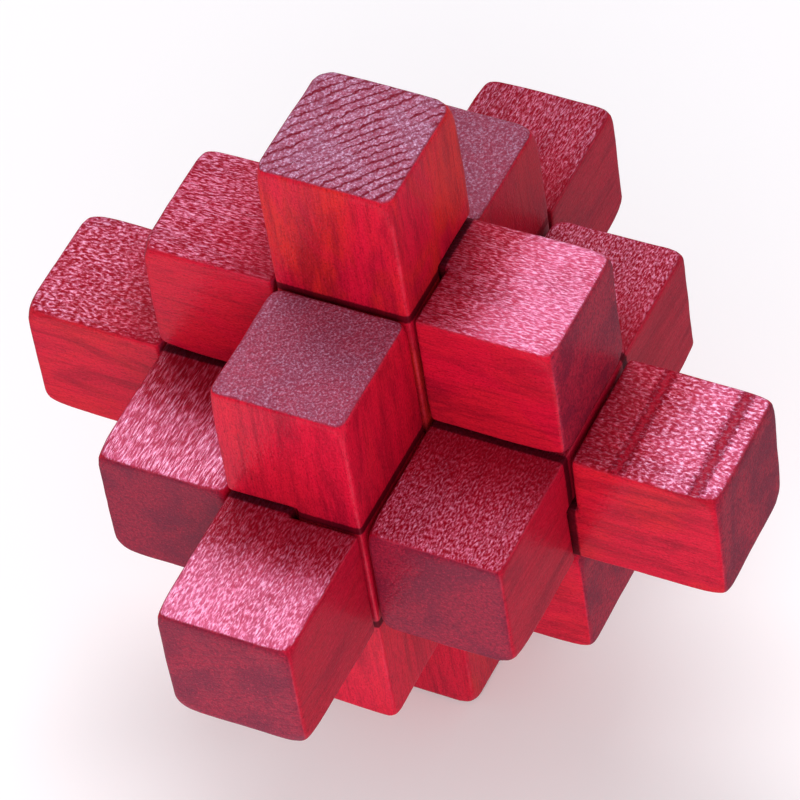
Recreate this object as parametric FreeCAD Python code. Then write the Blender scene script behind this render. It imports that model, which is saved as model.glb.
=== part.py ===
import FreeCAD, Part
import os
from FreeCAD import Placement, Rotation, Vector

# Nine-stick burr puzzle: three long and six short square sticks cross in three directions and
# lock one another. Millimetres, +Z up, origin at the centre of the lower end of the upright
# long stick, where the puzzle stands.

PITCH = 15.0      # spacing of the crossings, and so the size of one cube of the outline
PLAY = 0.35       # gap between the faces of neighbouring sticks
LONG = 77.0       # a long stick: five cubes, its ends 1 mm proud of the outline
SHORT = 45.0      # a short stick: three cubes
KEY_DROP = 2.0    # how far the key's head stands below the flush height
EDGE = 0.8        # rounding of the outer edges
SHOULDER = 0.5    # bevel of the notch mouths, so that the sticks find their way together

SECTION = PITCH - PLAY
FAR = PITCH       # reach of a notch cutter past the stick's own faces
CENTRE = Vector(0, 0, LONG / 2)


def bar(low, high):
    """A square stick along X with rounded edges and ends."""
    half = SECTION / 2
    blank = Part.makeBox(high - low, SECTION, SECTION, Vector(low, -half, -half))
    return blank.makeFillet(EDGE, blank.Edges)


def cutter(low, high):
    """A box between two corners given in cubes, grown by half the play on every side."""
    grow = Vector(PLAY / 2, PLAY / 2, PLAY / 2)
    start = Vector(*low) * PITCH - grow
    size = Vector(*high) * PITCH + grow - start
    return Part.makeBox(size.x, size.y, size.z, start)


def mouth(x, side, axis):
    """A wedge along a notch's shoulder at x cubes, where the notch opens on the given face.

    side is +1 when the stick's wood lies towards +X of the shoulder, and axis is the direction
    that the notch opens in.
    """
    edge = Vector(x * PITCH + side * PLAY / 2, 0, 0) + axis * (SECTION / 2)
    along = axis.cross(Vector(1, 0, 0)) * FAR
    inward = Vector(side * SHOULDER, 0, 0)
    down = axis * -SHOULDER
    start = edge - along
    lift = axis * SHOULDER
    loop = [start + down, start + inward, start + inward + lift, start + lift]
    outline = Part.makePolygon(loop + [loop[0]])
    return Part.Face(outline).extrude(along * 2)


def long_stick():
    """Long stick along X: its upper half goes at the three inner cubes, and half of the rest at
    the middle cube, so that three such sticks pass one another at the centre of the puzzle."""
    up = Vector(0, 0, 1)
    stick = bar(-LONG / 2, LONG / 2)
    stick = stick.cut(cutter((-1.5, -1, 0), (1.5, 1, 1)))
    stick = stick.cut(cutter((-0.5, -1, -1), (0.5, 0, 1)))
    for side in (-1, 1):
        stick = stick.cut(mouth(1.5 * side, side, up))
    return stick


def short_stick():
    """Short stick along X: one half-lap notch at its middle cube, open towards -Y."""
    back = Vector(0, -1, 0)
    stick = bar(-SHORT / 2, SHORT / 2)
    stick = stick.cut(cutter((-0.5, -1, -1), (0.5, 0, 1)))
    for side in (-1, 1):
        stick = stick.cut(mouth(0.5 * side, side, back))
    return stick


def key_stick():
    """Key along X: a full head at the +X cube and half the section over the rest, so that it
    slides out endways."""
    back = Vector(0, -1, 0)
    stick = bar(-SHORT / 2, SHORT / 2 - KEY_DROP)
    stick = stick.cut(cutter((-2, -1, -1), (0.5, 0, 1)))
    return stick.cut(mouth(0.5, 1, back))


def place(stick, turns, offset):
    """Turn a stick that runs along X to run along Y or Z, and put it in its place."""
    spin = Rotation(Vector(1, 1, 1), 120 * turns)
    placed = stick.copy()
    placed.Placement = Placement(CENTRE + Vector(*offset) * PITCH, spin)
    return placed


LONG_STICK = long_stick()
SHORT_STICK = short_stick()
ALONG_X, ALONG_Y, ALONG_Z = 0, 1, 2

NODES = {
    "long_stick_x": place(LONG_STICK, ALONG_X, (0, 0, 0)),
    "long_stick_y": place(LONG_STICK, ALONG_Y, (0, 0, 0)),
    "long_stick_z": place(LONG_STICK, ALONG_Z, (0, 0, 0)),
    "short_stick_x_top": place(SHORT_STICK, ALONG_X, (0, 0, 1)),
    "short_stick_x_bottom": place(SHORT_STICK, ALONG_X, (0, 0, -1)),
    "short_stick_y_right": place(SHORT_STICK, ALONG_Y, (1, 0, 0)),
    "short_stick_y_left": place(SHORT_STICK, ALONG_Y, (-1, 0, 0)),
    "short_stick_z_front": place(SHORT_STICK, ALONG_Z, (0, -1, 0)),
    "key_stick": place(key_stick(), ALONG_Z, (0, 1, 0)),
}

os.makedirs("parts", exist_ok=True)
for name, shape in NODES.items():
    shape.exportStep("parts/" + name + ".step")
    box = shape.BoundBox
    print(name, shape.isValid(), len(shape.Solids), round(shape.Volume),
          [round(v, 2) for v in (box.XMin, box.XMax, box.YMin, box.YMax, box.ZMin, box.ZMax)])
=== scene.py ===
"""Nine-stick burr puzzle: the wooden sticks, their dyed and lacquered finish, light and camera."""
import math
from collections import namedtuple
from types import SimpleNamespace

import bpy
import numpy as np
from mathutils import Matrix, Vector


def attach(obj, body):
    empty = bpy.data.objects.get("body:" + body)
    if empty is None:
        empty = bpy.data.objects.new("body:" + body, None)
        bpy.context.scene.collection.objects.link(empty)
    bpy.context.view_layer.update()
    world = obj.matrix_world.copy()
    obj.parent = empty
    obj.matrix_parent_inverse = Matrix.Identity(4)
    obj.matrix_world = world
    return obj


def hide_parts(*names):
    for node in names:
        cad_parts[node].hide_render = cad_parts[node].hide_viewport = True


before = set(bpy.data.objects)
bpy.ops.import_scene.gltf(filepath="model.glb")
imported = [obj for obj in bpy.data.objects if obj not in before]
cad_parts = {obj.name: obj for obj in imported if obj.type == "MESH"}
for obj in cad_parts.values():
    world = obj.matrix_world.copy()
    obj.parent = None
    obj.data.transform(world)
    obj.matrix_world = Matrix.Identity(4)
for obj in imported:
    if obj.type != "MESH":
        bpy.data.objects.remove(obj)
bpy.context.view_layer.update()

# ---------------------------------------------------------------- sizes, in millimetres
PITCH = 15.0          # from one crossing to the next
PLAY = 0.35           # between two sticks
LONG = 77.0
KEY_DROP = 2.0        # how much lower the key's head stands than its neighbours'

HALF = (PITCH - PLAY) / 2     # half of a stick's section
GAP = PLAY / 2
LONG_END = LONG / 2
SHORT_END = 1.5 * PITCH
CENTRE = Vector((0, 0, LONG_END))
MM = 0.001

# A stick runs along its own X from low to high, and its neighbours cover it as far out as covered.
Kind = namedtuple("Kind", "low high covered slot body")
LONG_STICK = Kind(-LONG_END, LONG_END, 1.5 * PITCH, "long_sticks", "locked_sticks")
SHORT_STICK = Kind(-SHORT_END, SHORT_END, 0.5 * PITCH, "short_sticks", "locked_sticks")
KEY_STICK = Kind(-SHORT_END, SHORT_END - KEY_DROP, 0.5 * PITCH, "key", "key")

# ---------------------------------------------------------------- stick shapes
# How far the edges are rounded before wear makes them uneven.
ROUND_LONG_EDGE = 0.5
ROUND_MORE_AT_TIP = 1.6
TIP_LENGTH = 1.2
ROUND_END = 0.65
ROUND_SHOULDER = 0.6
ROUND_NOTCH = 0.3
SANDING = 0.07        # how deep the hand sanding waves the faces
BROAD_WEAR = 7.0      # size of the places where the edges are worn more or less
SMALL_WEAR = 1.3

# Grid steps of the mesh: the closer to an edge, the finer.
FINE_STEP, MIDDLE_STEP, WIDE_STEP = 0.13, 0.3, 0.9
FINE_WITHIN, MIDDLE_WITHIN = 0.6, 1.8
MARGIN = 0.5

NOISE_CELLS = 32


def lattice_noise(x, y, z, seed):
    """Smooth value noise from 0 to 1, one cell per unit."""
    table = np.random.default_rng(seed).random((NOISE_CELLS, NOISE_CELLS, NOISE_CELLS))
    base = [np.floor(a).astype(int) for a in (x, y, z)]
    part = [a - b for a, b in zip((x, y, z), base)]
    part = [p * p * (3 - 2 * p) for p in part]
    total = 0
    for corner in range(8):
        bit = [corner >> a & 1 for a in range(3)]
        weight = 1
        for p, b in zip(part, bit):
            weight = weight * (p if b else 1 - p)
        total = total + weight * table[tuple((cell + b) % NOISE_CELLS for cell, b in zip(base, bit))]
    return total


def smooth_max(a, b, k):
    """The larger of two distances, with the edge between them rounded over k."""
    h = np.maximum(k - np.abs(a - b), 0)
    return np.maximum(a, b) + h * h / (4 * k)


def smooth_min(a, b, k):
    """The smaller of two distances, rounded in the same way."""
    return -smooth_max(-a, -b, k)


def stick_field(kind, x, y, z, seed):
    """Distance to the surface of a stick that runs along X: below zero in the wood."""
    broad = lattice_noise(x / BROAD_WEAR + 3, y / BROAD_WEAR + 9, z / BROAD_WEAR + 5, seed)
    small = lattice_noise(x / SMALL_WEAR, y / SMALL_WEAR, z / SMALL_WEAR, seed + 1)
    wear = 0.55 + 0.7 * broad + 0.35 * small
    tip = np.exp(-np.maximum(np.minimum(x - kind.low, kind.high - x), 0) / TIP_LENGTH)
    section_edge = (ROUND_LONG_EDGE + ROUND_MORE_AT_TIP * tip) * wear
    d = smooth_max(np.abs(y) - HALF, np.abs(z) - HALF, section_edge)
    d = smooth_max(d, np.maximum(kind.low - x, x - kind.high), ROUND_END * wear)

    # the laps: half of the section is cut away where another stick crosses
    if kind is LONG_STICK:
        wide_lap = smooth_min(z + GAP, 3 * PITCH / 2 + GAP - np.abs(x), ROUND_NOTCH)
        d = smooth_max(d, wide_lap, ROUND_SHOULDER * wear)
    from_shoulder = PITCH / 2 + GAP - (x if kind is KEY_STICK else np.abs(x))
    lap = smooth_min(GAP - y, from_shoulder, ROUND_NOTCH)
    d = smooth_max(d, lap, ROUND_SHOULDER * wear)

    sanding = lattice_noise(x / 5 + 1, y / 3.5, z / 3.5, seed + 2)
    return d + SANDING * sanding


def steps(low, high, features):
    """Grid lines from low to high, close together around the features."""
    lines = [low - MARGIN]
    while lines[-1] < high + 0.8 * MARGIN:
        near = min(abs(lines[-1] - feature) for feature in features)
        step = FINE_STEP if near < FINE_WITHIN else MIDDLE_STEP if near < MIDDLE_WITHIN else WIDE_STEP
        lines.append(lines[-1] + step)
    return np.array(lines)


def net(axes, field):
    """Quad mesh of the zero surface of a field sampled on a grid.

    Each grid edge that crosses the surface gives one quad, between the four cells round that edge,
    and a cell's point is the mean of the crossings on its edges.
    """
    shape = tuple(n - 1 for n in field.shape)
    total = np.zeros(shape + (3,))
    count = np.zeros(shape)
    quads = []
    for a in range(3):
        b, c = (a + 1) % 3, (a + 2) % 3
        size = field.shape[a]
        first = np.take(field, range(size - 1), a)
        second = np.take(field, range(1, size), a)
        at = np.argwhere((first < 0) != (second < 0))
        f0, f1 = first[tuple(at.T)], second[tuple(at.T)]
        point = np.stack([axes[n][at[:, n]] for n in range(3)], 1)
        point[:, a] += (axes[a][at[:, a] + 1] - axes[a][at[:, a]]) * f0 / (f0 - f1)
        ring = []
        for db, dc in ((-1, -1), (0, -1), (0, 0), (-1, 0)):
            cell = at.copy()
            cell[:, b] += db
            cell[:, c] += dc
            key = tuple(cell.T)
            np.add.at(total, key, point)
            np.add.at(count, key, 1)
            ring.append(np.ravel_multi_index(key, shape))
        ring = np.stack(ring, 1)
        ring[f0 > 0] = ring[f0 > 0][:, ::-1]
        quads.append(ring)
    quads = np.concatenate(quads)
    used, flat = np.unique(quads, return_inverse=True)
    points = total.reshape(-1, 3)[used] / count.reshape(-1)[used][:, None]
    return points, flat.reshape(-1, 4)


def stick_mesh(name, kind, seed):
    """Mesh of one stick, in metres, running along its own X."""
    marks = [kind.low, kind.high, -PITCH / 2, PITCH / 2]
    if kind is LONG_STICK:
        marks += [-1.5 * PITCH, 1.5 * PITCH]
    across = steps(-HALF, HALF, [-HALF, 0, HALF])
    axes = [steps(kind.low, kind.high, marks), across, across]
    x, y, z = np.meshgrid(*axes, indexing="ij")
    points, quads = net(axes, stick_field(kind, x, y, z, seed))
    mesh = bpy.data.meshes.new(name)
    mesh.from_pydata(points * MM, [], quads.tolist())
    mesh.polygons.foreach_set("use_smooth", np.ones(len(quads), bool))
    mesh.update()
    return mesh


# ---------------------------------------------------------------- shader nodes
class Nodes:
    """Short way to build a node tree. Where a method takes a value, a socket or a number will do."""

    def __init__(self, material):
        material.use_nodes = True
        self.tree = material.node_tree
        self.tree.nodes.clear()

    def put(self, socket, value):
        if isinstance(value, bpy.types.NodeSocket):
            self.tree.links.new(value, socket)
        else:
            socket.default_value = value

    def add(self, kind, inputs=None, **settings):
        node = self.tree.nodes.new(kind)
        for key, value in settings.items():
            setattr(node, key, value)
        for key, value in (inputs or {}).items():
            self.put(node.inputs[key], value)
        return node

    def math(self, operation, *values, clamp=False):
        node = self.add("ShaderNodeMath", dict(enumerate(values)), operation=operation)
        node.use_clamp = clamp
        return node.outputs[0]

    def plus(self, a, b):
        return self.math("ADD", a, b)

    def minus(self, a, b):
        return self.math("SUBTRACT", a, b)

    def times(self, a, b, clamp=False):
        return self.math("MULTIPLY", a, b, clamp=clamp)

    def size(self, a):
        return self.math("ABSOLUTE", a)

    def without(self, mask):
        """1 where the mask is 0, and 0 where it is 1."""
        return self.math("SUBTRACT", 1.0, mask)

    def split(self, vector):
        """The three parts of a vector."""
        return self.add("ShaderNodeSeparateXYZ", {0: vector}).outputs

    def noise(self, vector, detail=2, roughness=0.5, distortion=0.0):
        node = self.add("ShaderNodeTexNoise", {"Vector": vector, "Scale": 1.0, "Detail": detail,
                                               "Roughness": roughness, "Distortion": distortion})
        return node.outputs[0]

    def stretch(self, vector, scale, location=(0, 0, 0), rotation=(0, 0, 0)):
        node = self.add("ShaderNodeMapping", {"Vector": vector, "Scale": scale,
                                              "Location": location, "Rotation": rotation})
        return node.outputs[0]

    def ramp(self, value, low, high):
        """0 up to low, 1 from high on, smooth between. It falls instead where low is the larger."""
        node = self.add("ShaderNodeMapRange", {"Value": value, "From Min": low, "From Max": high},
                        interpolation_type="SMOOTHSTEP")
        return node.outputs[0]

    def mix(self, factor, a, b):
        """The colour a where the factor is 0, b where it is 1."""
        node = self.add("ShaderNodeMix", {0: factor}, data_type="RGBA")
        self.put(node.inputs[6], a)
        self.put(node.inputs[7], b)
        return node.outputs[2]

    def paint(self, under, mask, strength, over):
        """The colour over, laid on the colour under where the mask says."""
        return self.mix(self.times(mask, strength), under, over)


def rgb(r, g, b):
    return (r, g, b, 1.0)


# ---------------------------------------------------------------- wood
# Colours of the dye on the sides of a stick and on its end grain, and of the marks and painted shade
# laid on it.
CRIMSON = rgb(0.62, 0.006, 0.030)
ORANGE = rgb(0.62, 0.018, 0.014)
DEEP_RED = rgb(0.20, 0.003, 0.014)
SOAKED_SIDE = rgb(0.24, 0.002, 0.016)
PLUM = rgb(0.42, 0.018, 0.042)
DARK_PLUM = rgb(0.20, 0.011, 0.030)
CLOUDY_PLUM = rgb(0.15, 0.012, 0.032)
SOAKED_END = rgb(0.10, 0.005, 0.018)
LIGHT_DUST = rgb(0.78, 0.025, 0.07)
DARK_DUST = rgb(0.10, 0.002, 0.008)
# dark red of the ring lines, also used as painted shade near the crossing sticks
DARK_RED = rgb(0.20, 0.002, 0.010)
SCORED = rgb(0.34, 0.003, 0.016)
# painted shade in the seams, where the crossing sticks meet
SEAM_SHADE = rgb(0.03, 0.001, 0.004)

# Colours painted on the upward faces, on a side, then on an end: painted shade in the hollows between
# the raised fibres, painted sheen, and painted glints.
SHADED_HOLLOW = rgb(0.25, 0.001, 0.008), rgb(0.26, 0.016, 0.040)
PAINTED_SHEEN = rgb(0.92, 0.26, 0.42), rgb(0.62, 0.30, 0.42)
GLINT = rgb(1.0, 0.80, 0.92), rgb(0.90, 0.74, 0.86)

# Colours of the edges: paler where they are upright, from rubbing and painted highlight; dark round
# the top, from dye and painted dark reflection.
RUBBED_AND_HIGHLIT_EDGE = rgb(0.72, 0.07, 0.11)
DYED_AND_SHADED_EDGE = rgb(0.26, 0.004, 0.014)

# Noises of the wood: cells per millimetre along X, Y and Z of the stick, and the other settings.
NOISES = {
    "streak": ((0.09, 1.7, 1.7), dict(detail=3, roughness=0.6)),
    "hair": ((0.7, 6.0, 6.0), dict(detail=3, roughness=0.7)),
    "drift": ((0.06, 0.32, 0.32), dict(detail=4, roughness=0.6, distortion=0.9)),
    "blotch": ((0.08, 0.14, 0.14), dict(detail=3, distortion=0.6)),
    "cloud": ((0.22, 0.22, 0.22), dict(detail=3, distortion=0.4)),
    "speck": ((2.6, 2.6, 2.6), dict(detail=3, roughness=0.7)),
    "dust": ((3.6, 4.8, 4.8), dict(detail=3, roughness=0.8)),
    "pores": ((4.0, 4.0, 4.0), dict(detail=3, roughness=0.6)),
    "ragged": ((0.9, 0.9, 0.9), dict(detail=3, roughness=0.7)),
    "bend": ((0.02, 0.09, 0.09), dict(detail=1)),
    "waver": ((0.2, 1.4, 1.4), dict(detail=2)),
}
FLECK_CELLS = 2.6, 4.8     # raised fibres: cells per millimetre along the grain and across it
RING_EVERY = 1 / 0.95      # millimetres from one growth ring to the next
SEAM_HALF_WIDTH = 0.35


def surface(n, seed, up, kind, ring_angle):
    """Where a point lies on a stick: its place, the noises there, and masks for kinds of face."""
    rng = np.random.default_rng(seed)
    coords = n.add("ShaderNodeTexCoord")
    normal = n.split(coords.outputs["Normal"])
    place = n.stretch(coords.outputs["Object"], (1 / MM, 1 / MM, 1 / MM))
    shift = tuple(float(v) for v in rng.uniform(-40, 40, 3))
    s = SimpleNamespace(grain=n.stretch(place, (1, 1, 1), location=shift))
    for name, (cells, settings) in NOISES.items():
        setattr(s, name, n.noise(n.stretch(s.grain, cells), **settings))
    parts = n.split(place)
    s.along = parts[0]
    s.from_middle = n.size(s.along)
    s.end = n.ramp(n.size(normal[0]), 0.55, 0.85)
    s.top = n.ramp(normal[up], 0.6, 0.93)

    # how close to an edge: the middle one of the distances past the three pairs of faces
    past = [n.minus(n.size(part), limit) for part, limit in zip(parts, (kind.high, HALF, HALF))]
    middle = n.math("MAXIMUM", n.math("MINIMUM", past[0], past[1]),
                    n.math("MINIMUM", n.math("MAXIMUM", past[0], past[1]), past[2]))
    s.edge = n.ramp(n.plus(middle, n.times(s.ragged, 0.5)), -0.1, 0.3)

    # growth rings: bands across the stick's section, a little bent
    band = n.split(n.stretch(place, (1, 1, 1), rotation=(ring_angle, 0, 0)))[1]
    band = n.plus(band, n.times(s.bend, 1.6))
    band = n.plus(band, n.times(s.waver, 0.9))
    s.ring = n.ramp(n.math("PINGPONG", n.times(band, 1 / RING_EVERY), 0.5), 0.31, 0.49)

    # seam: the line where the crossing sticks begin to hide the wood
    seam = n.size(n.minus(s.from_middle, kind.covered - SEAM_HALF_WIDTH))
    seam = n.plus(seam, n.times(n.minus(s.speck, 0.5), 0.3))
    s.seam = n.without(n.ramp(seam, SEAM_HALF_WIDTH, SEAM_HALF_WIDTH + 0.3))
    return s


def dyed_colour(n, s, warm, depth):
    """Colour of the dyed wood: streaked along the grain on the sides, specked plum on the ends."""
    side = n.paint(CRIMSON, n.ramp(s.blotch, 0.40, 0.62), warm, ORANGE)
    side = n.paint(side, n.ramp(s.drift, 0.44, 0.70), 0.55, DEEP_RED)
    side = n.paint(side, n.ramp(s.streak, 0.5, 0.78), 0.5, DEEP_RED)
    side = n.paint(side, n.ramp(s.hair, 0.45, 0.72), 0.5, DEEP_RED)
    side = n.mix(depth, side, SOAKED_SIDE)
    cut = n.mix(n.ramp(s.speck, 0.35, 0.7), PLUM, DARK_PLUM)
    cut = n.paint(cut, n.ramp(s.cloud, 0.42, 0.66), 0.7, CLOUDY_PLUM)
    cut = n.mix(depth, cut, SOAKED_END)
    colour = n.mix(s.end, side, cut)
    colour = n.paint(colour, n.ramp(s.dust, 0.52, 0.74), 0.45, LIGHT_DUST)
    return n.paint(colour, n.ramp(s.dust, 0.48, 0.28), 0.65, DARK_DUST)


def add_relief(n, s, flecks, coarse, rings):
    """Fibres that the dye raised, drawn out along the grain, and pores and rings on the ends."""
    along, across = FLECK_CELLS
    cells = (along / flecks / coarse, across / coarse, across / coarse)
    fibre = n.noise(n.stretch(s.grain, cells), detail=2, roughness=0.55, distortion=0.25 * coarse)
    s.face = n.add("ShaderNodeMix", {0: s.end, 2: fibre, 3: s.pores}, data_type="FLOAT").outputs[0]
    even = n.times(s.end, 0.2)
    raised = n.plus(even, n.times(n.ramp(s.face, 0.38, 0.70), n.without(even)))
    broken = n.times(s.ring, n.ramp(s.speck, 0.2, 0.48))
    broken = n.times(broken, n.without(n.times(n.ramp(s.cloud, 0.44, 0.62), 0.55)))
    s.groove = n.times(n.times(broken, s.end), rings)
    s.raised = n.times(raised, n.without(n.times(s.groove, 0.95)))
    height = n.times(s.face, n.plus(0.05, n.times(s.top, 0.16)))
    s.height = n.minus(height, n.times(s.groove, 0.12))


def painted_sheen_and_shade(n, s, colour, kind, gloss_and_painted_sheen, coarse):
    """Upward faces: painted sheen and painted glints on the raised fibres, most at the tips, over
    painted shade between the fibres and near the crossing sticks.
    """
    out = n.ramp(s.from_middle, kind.high - 14, kind.high - 3.5)
    out = n.times(n.plus(0.12, n.times(out, 0.88)), s.top)
    # the amount for each stick sets both the coat's gloss and the painted sheen
    amount = n.plus(gloss_and_painted_sheen[0], n.times(n.ramp(s.along, -1, 1), gloss_and_painted_sheen[1] - gloss_and_painted_sheen[0]))
    amount = n.times(amount, n.plus(0.7, n.times(s.cloud, 0.6)))
    s.out = n.times(out, amount)
    broad_painted_sheen = n.times(n.ramp(amount, 0.7, 1.4), n.ramp(s.out, 0.3, 1.0))
    broad_painted_sheen = n.times(broad_painted_sheen, n.without(s.end))

    # painted shade: the upward faces darker between the raised fibres
    painted_hollow_shade = n.times(s.top, n.minus(0.8, n.times(s.raised, 0.8)))
    painted_hollow_shade = n.times(painted_hollow_shade, n.without(n.times(broad_painted_sheen, 0.75)))
    colour = n.mix(painted_hollow_shade, colour, n.mix(s.end, *SHADED_HOLLOW))
    # painted shade: darker near where the crossing sticks stand
    shade_near_crossing = n.ramp(s.from_middle, kind.covered + 7, kind.covered - 1)
    colour = n.paint(colour, n.times(shade_near_crossing, s.top), 0.6, DARK_RED)

    # painted sheen: paler towards the tips and on the raised fibres
    painted_sheen_mask = n.times(s.out, n.plus(n.times(broad_painted_sheen, 0.3), n.times(s.raised, 0.7)))
    painted_sheen_mask = n.times(painted_sheen_mask, n.without(s.edge), clamp=True)
    colour = n.mix(painted_sheen_mask, colour, n.mix(s.end, *PAINTED_SHEEN))
    # painted glints on the highest fibres
    glint = n.times(painted_sheen_mask, n.ramp(s.face, 0.52, 0.72))
    return n.paint(colour, glint, 0.5 * coarse, n.mix(s.end, *GLINT))


def rings_edges_and_seam_shade(n, s, colour, seam_shade):
    """Dark ring lines; edges paler where upright, from rubbing and painted highlight, and dark round
    the top, from dye and painted dark reflection; painted shade in the seams.
    """
    colour = n.paint(colour, s.groove, 0.8, DARK_RED)
    # edges: rubbed and with a painted highlight where upright, dyed and with a painted dark
    # reflection round the top
    colour = n.paint(colour, s.edge, 0.5, n.mix(s.top, RUBBED_AND_HIGHLIT_EDGE, DYED_AND_SHADED_EDGE))
    # painted shade in the seams
    return n.paint(colour, s.seam, seam_shade, SEAM_SHADE)


def scored_colour(n, s, colour, mark):
    """One ragged saw mark across the upward face, at a place along the stick."""
    away = n.size(n.minus(s.along, mark))
    away = n.plus(away, n.times(n.minus(s.speck, 0.5), 2.4))
    score = n.times(n.without(n.ramp(away, 0.15, 0.9)), s.top)
    s.height = n.minus(s.height, n.times(score, 0.2))
    s.raised = n.times(s.raised, n.without(n.times(score, 0.9)))
    return n.paint(colour, score, 0.85, SCORED)


def wood(name, seed, up, kind, ring_angle=0.8, flecks=1.0, coarse=1.0, rings=0.1, warm=0.5,
         gloss_and_painted_sheen=(0.5, 0.5), depth=0.0, seam_shade=0.85, saw_marks=()):
    """Red-dyed hardwood under gloss lacquer, for a stick that runs along its own X.

    up is the stick's own axis that points up when the puzzle stands: the lacquer was sprayed
    from above, so it lies thicker there and has raised the fibres more.
    ring_angle turns the growth rings about the stick, and rings is how strongly they show.
    flecks is how long the raised fibres are, and coarse how big.
    warm is how orange the dye has stayed, depth how dark it is, and seam_shade how dark the painted
    shade in the seams is.
    gloss_and_painted_sheen is how glossy the coat is and how much painted sheen lies on the upward
    faces at the two ends, the -X end first.
    saw_marks are places along the stick, in millimetres, where a cross-cut scored it.
    """
    material = bpy.data.materials.new(name)
    n = Nodes(material)
    s = surface(n, seed, up, kind, ring_angle)
    add_relief(n, s, flecks, coarse, rings)
    colour = dyed_colour(n, s, warm, depth)
    colour = painted_sheen_and_shade(n, s, colour, kind, gloss_and_painted_sheen, coarse)
    colour = rings_edges_and_seam_shade(n, s, colour, seam_shade)
    for mark in saw_marks:
        colour = scored_colour(n, s, colour, mark)

    bump = n.add("ShaderNodeBump", {"Strength": 1.0, "Distance": MM, "Height": s.height})
    gloss = n.plus(n.times(s.top, 0.12), n.times(s.out, 0.9))
    thin = n.minus(0.14, n.times(s.top, 0.11))
    coat = n.plus(thin, n.times(gloss, s.raised))
    shader = n.add("ShaderNodeBsdfPrincipled", {
        "Base Color": colour,
        "Roughness": n.plus(0.40, n.times(s.streak, 0.2)),
        "IOR": 1.45,
        "Specular IOR Level": 0.05,
        "Coat Weight": n.times(coat, n.without(s.seam), clamp=True),
        "Coat Roughness": 0.11,
        "Coat IOR": 1.7,
        "Normal": bump.outputs[0],
        "Coat Normal": bump.outputs[0]})
    n.add("ShaderNodeOutputMaterial", {0: shader.outputs[0]})
    return material


# ---------------------------------------------------------------- sticks
# node: kind, axis (0 along X, 1 along Y, 2 along Z), place in pitches, settings of its wood
# the sheen pairs set each stick's coat gloss and the painted sheen on its upward faces
STICKS = {
    "long_stick_x": (LONG_STICK, 0, (0, 0, 0), dict(
        ring_angle=1.2, coarse=1.4, gloss_and_painted_sheen=(0.7, 1.1), saw_marks=(27.6, 35.9))),
    "long_stick_y": (LONG_STICK, 1, (0, 0, 0), dict(
        ring_angle=0.3, flecks=1.8, coarse=0.9, warm=0.2, gloss_and_painted_sheen=(1.3, 0.45), depth=0.42)),
    "long_stick_z": (LONG_STICK, 2, (0, 0, 0), dict(
        ring_angle=0.72, rings=1.0, warm=1.0, gloss_and_painted_sheen=(0.5, 1.2))),
    "short_stick_x_top": (SHORT_STICK, 0, (0, 0, 1), dict(
        ring_angle=0.6, flecks=1.8, coarse=0.85, warm=0.3, gloss_and_painted_sheen=(0.75, 1.3))),
    "short_stick_x_bottom": (SHORT_STICK, 0, (0, 0, -1), dict(ring_angle=1.6, warm=0.2)),
    "short_stick_y_right": (SHORT_STICK, 1, (1, 0, 0), dict(
        ring_angle=0.9, flecks=1.2, warm=0.1, gloss_and_painted_sheen=(0.6, 0.6), depth=0.38)),
    "short_stick_y_left": (SHORT_STICK, 1, (-1, 0, 0), dict(
        ring_angle=2.0, flecks=3.2, coarse=0.9, warm=0.2, gloss_and_painted_sheen=(1.1, 0.5), depth=0.42)),
    "short_stick_z_front": (SHORT_STICK, 2, (0, -1, 0), dict(
        ring_angle=1.0, rings=0.2, warm=0.2, gloss_and_painted_sheen=(0.25, 0.6))),
    # the key's seams get less painted shade
    "key_stick": (KEY_STICK, 2, (0, 1, 0), dict(
        ring_angle=0.2, rings=0.15, warm=0.4, gloss_and_painted_sheen=(0.35, 0.55), depth=0.35, seam_shade=0.4)),
}
SEED_STEP = 100

for index, (node, (kind, axis, at, finish)) in enumerate(STICKS.items()):
    seed = SEED_STEP * (index + 1)
    stick = bpy.data.objects.new("wood_" + node, stick_mesh(node + "_mesh", kind, seed))
    bpy.context.collection.objects.link(stick)
    turn = Matrix.Rotation(math.radians(120 * axis), 4, Vector((1, 1, 1)))
    stick.matrix_world = Matrix.Translation((CENTRE + Vector(at) * PITCH) * MM) @ turn
    stick.data.materials.append(wood("dyed_" + node, seed, 2 - axis, kind, **finish))
    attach(stick, kind.body)
    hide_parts(node)

# ---------------------------------------------------------------- floor and light
TINT = (1.0, 0.85, 1.06)     # all the light is a little violet, and the paper makes up for it
DAYLIGHT = 0.46

bpy.ops.mesh.primitive_plane_add(size=6)
floor = bpy.context.object
floor.name = "floor"
paper = bpy.data.materials.new("paper")
paper.use_nodes = True
paper_inputs = paper.node_tree.nodes["Principled BSDF"].inputs
paper_inputs["Base Color"].default_value = rgb(0.86, 0.99, 0.82)
paper_inputs["Roughness"].default_value = 0.9
paper_inputs["Emission Color"].default_value = rgb(1, 1, 1)
paper_inputs["Emission Strength"].default_value = 0.12
floor.data.materials.append(paper)
floor.visible_glossy = False


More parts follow.
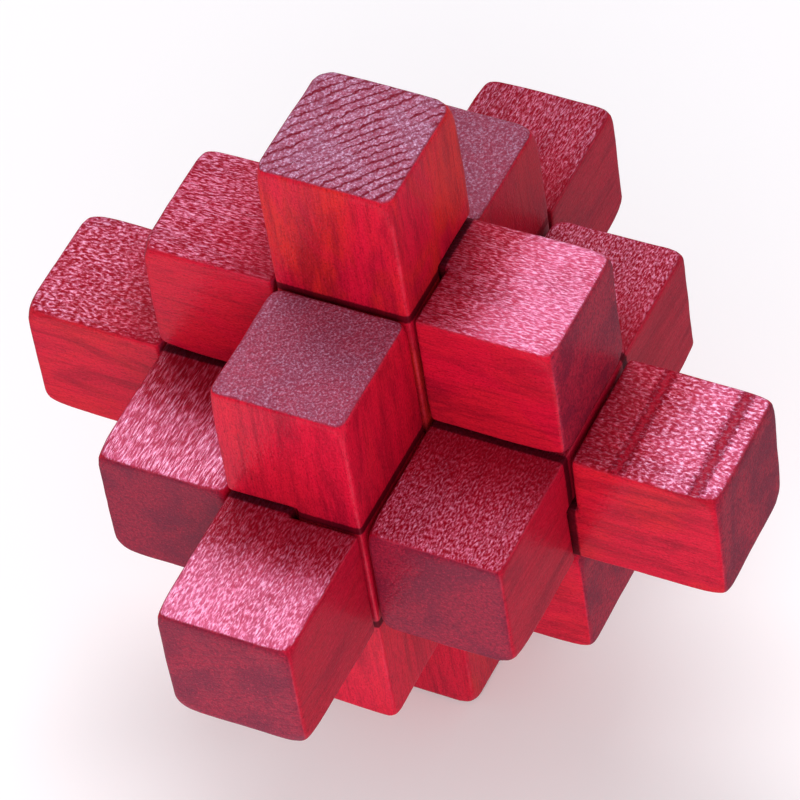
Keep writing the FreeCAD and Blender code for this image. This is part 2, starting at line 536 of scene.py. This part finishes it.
def toward(azimuth, elevation):
    """Unit vector at an azimuth from -Y towards +X and an elevation, in degrees."""
    a, e = math.radians(azimuth), math.radians(elevation)
    return Vector((math.sin(a) * math.cos(e), -math.cos(a) * math.cos(e), math.sin(e)))


def soft_light(name, size, power):
    """Rectangular light, in metres and watts, that the camera doesn't see."""
    data = bpy.data.lights.new(name, "AREA")
    data.shape = "RECTANGLE"
    data.size, data.size_y = size
    data.energy = power
    data.color = TINT
    light = bpy.data.objects.new(name, data)
    light.visible_camera = False
    bpy.context.collection.objects.link(light)
    return light


def aim(light, azimuth, elevation, distance):
    """Put a light at a distance from the puzzle's centre, facing it."""
    way = toward(azimuth, elevation)
    light.location = CENTRE * MM + way * distance
    light.rotation_euler = way.to_track_quat("Z", "Y").to_euler()


window = soft_light("window", (0.8, 0.6), 10.5)
aim(window, 209, 58, 1.3)

fill = soft_light("fill", (0.2, 0.15), 0.275)
aim(fill, 24, 28, 0.22)
fill.visible_glossy = False

# light that the table throws back at the low front faces
bounce = soft_light("bounce", (0.12, 0.10), 0.028)
bounce.location = (-0.03, -0.085, 0.001)
bounce.rotation_euler = (math.pi, 0, 0)

world = bpy.data.worlds.new("world")
world.use_nodes = True
world.node_tree.nodes["Background"].inputs[0].default_value = rgb(*TINT)
world.node_tree.nodes["Background"].inputs[1].default_value = DAYLIGHT
bpy.context.scene.world = world
bpy.context.scene.view_settings.view_transform = "Standard"

# ---------------------------------------------------------------- camera
AZIMUTH = 32.8
ELEVATION = 48.0
ROLL = -9.9
DISTANCE = 0.52
VIEW_WIDTH = 0.0808081     # how much of the puzzle's plane the picture takes in, in metres

camera_data = bpy.data.cameras.new("camera")
camera = bpy.data.objects.new("camera", camera_data)
bpy.context.collection.objects.link(camera)
way = toward(AZIMUTH, ELEVATION)
camera_data.sensor_width = 36
camera_data.lens = camera_data.sensor_width * DISTANCE / VIEW_WIDTH
camera_data.clip_start = 0.05
camera.matrix_world = (Matrix.Translation(CENTRE * MM + way * DISTANCE)
                       @ way.to_track_quat("Z", "Y").to_matrix().to_4x4()
                       @ Matrix.Rotation(math.radians(ROLL), 4, "Z"))
bpy.context.scene.camera = camera
